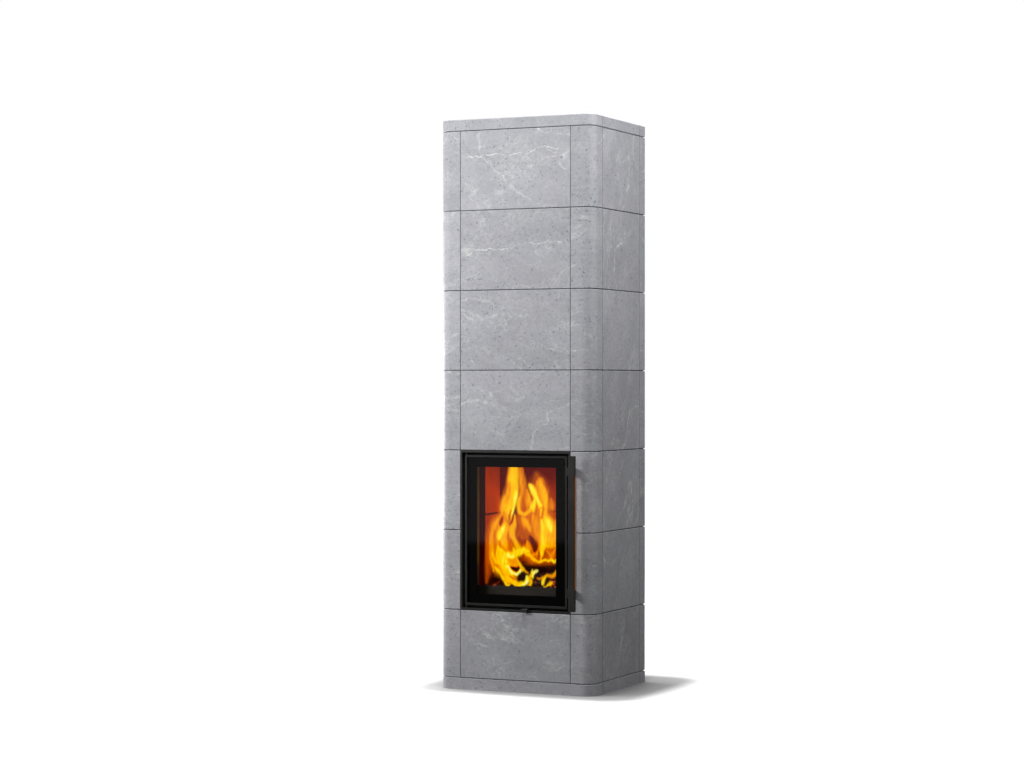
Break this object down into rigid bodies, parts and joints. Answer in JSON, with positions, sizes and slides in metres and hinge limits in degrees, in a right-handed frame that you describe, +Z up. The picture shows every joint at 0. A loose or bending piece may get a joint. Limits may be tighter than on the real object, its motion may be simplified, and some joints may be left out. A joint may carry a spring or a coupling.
{
  "type": "soapstone masonry heater",
  "caption": "Tall narrow soapstone masonry heater built of coursed stone blocks, with a glazed steel fire door, an upright bar handle, an air lever below and a flue outlet at the back.",
  "frame": {"origin": "on the floor, under the middle of the bounding box", "axes": "+Z up, -Y towards the front with the fire door, +X to the right seen from the front"},
  "size_m": [0.528, 0.501, 1.786],
  "materials": {
    "soapstone": "honed",
    "core_soapstone": "sawn",
    "mortar": "matte",
    "insulation": "matte",
    "black_steel": "satin",
    "steel_screw": "satin",
    "cast_iron": "matte",
    "dark_handle": "satin",
    "grip": "oiled",
    "glass": "clear",
    "enamel_border": "gloss",
    "rope_seal": "woven",
    "lever_steel": "satin",
    "flue_steel": "matte"
  },
  "bodies": {
    "heater": {"air_slide_guides": "black_steel", "base_slab_front": "soapstone", "base_slab_rear": "soapstone", "catch_bracket": "black_steel", "core_ceiling": "core_soapstone", "corner_left_1": "soapstone", "corner_left_2": "soapstone", "corner_left_3": "soapstone", "corner_left_4": "soapstone", "corner_left_5": "soapstone", "corner_left_6": "soapstone", "corner_left_7": "soapstone", "corner_right_1": "soapstone", "corner_right_2": "soapstone", "corner_right_3": "soapstone", "corner_right_4": "soapstone", "corner_right_5": "soapstone", "corner_right_6": "soapstone", "corner_right_7": "soapstone", "door_surround": "black_steel", "firebox_back_linings": "core_soapstone", "firebox_floor": "core_soapstone", "firebox_front_stones": "core_soapstone", "firebox_side_linings": "core_soapstone", "flue_collar": "flue_steel", "front_panel_1": "soapstone", "front_panel_4": "soapstone", "front_panel_5": "soapstone", "front_panel_6": "soapstone", "front_panel_7": "soapstone", "hinge_bushes": "black_steel", "hinge_pins": "black_steel", "insulation_board": "insulation", "log_guard": "black_steel", "mortar_joints": "mortar", "plinth_blocks": "core_soapstone", "rear_core_stones": "core_soapstone", "rear_corners": "soapstone", "rear_panels": "soapstone", "side_panels_left": "soapstone", "side_panels_right": "soapstone", "throat_blocks": "core_soapstone", "top_slab": "soapstone", "upper_core_stones": "core_soapstone"},
    "door": {"door_frame": "black_steel", "door_glass": "glass", "glass_border": "enamel_border", "glass_seal": "rope_seal", "door_gasket": "rope_seal", "handle_bar": "dark_handle", "handle_grip": "grip", "handle_brackets": "black_steel", "handle_screws": "steel_screw", "latch_tongue": "black_steel"},
    "catch_roller": {"catch_roller": "black_steel"},
    "air_slide": {"air_slide": "lever_steel"},
    "grate": {"grate": "cast_iron"},
    "ash_pan": {"ash_pan": "black_steel"}
  },
  "joints": [
    {"name": "door_hinge", "type": "hinge", "parent": "heater", "child": "door", "pos_m": [-0.17125, -0.201, 0.5], "axis": [0, 0, -1], "range_deg": [0, 110]},
    {"name": "catch_roller_turn", "type": "hinge", "parent": "heater", "child": "catch_roller", "pos_m": [0.1758, -0.1755, 0.5], "axis": [0, 0, 1], "continuous": true},
    {"name": "air_slide_travel", "type": "slide", "parent": "heater", "child": "air_slide", "axis": [1, 0, 0], "range_m": [-0.072, 0]},
    {"name": "grate_lift", "type": "slide", "parent": "heater", "child": "grate", "axis": [0, 0, 1], "range_m": [0, 0.13]},
    {"name": "ash_pan_lift", "type": "slide", "parent": "heater", "child": "ash_pan", "axis": [0, 0, 1], "range_m": [0, 0.104]}
  ],
  "couplings": [
    {"joint": "ash_pan_lift", "follows": "grate_lift", "ratio": 0.8}
  ]
}
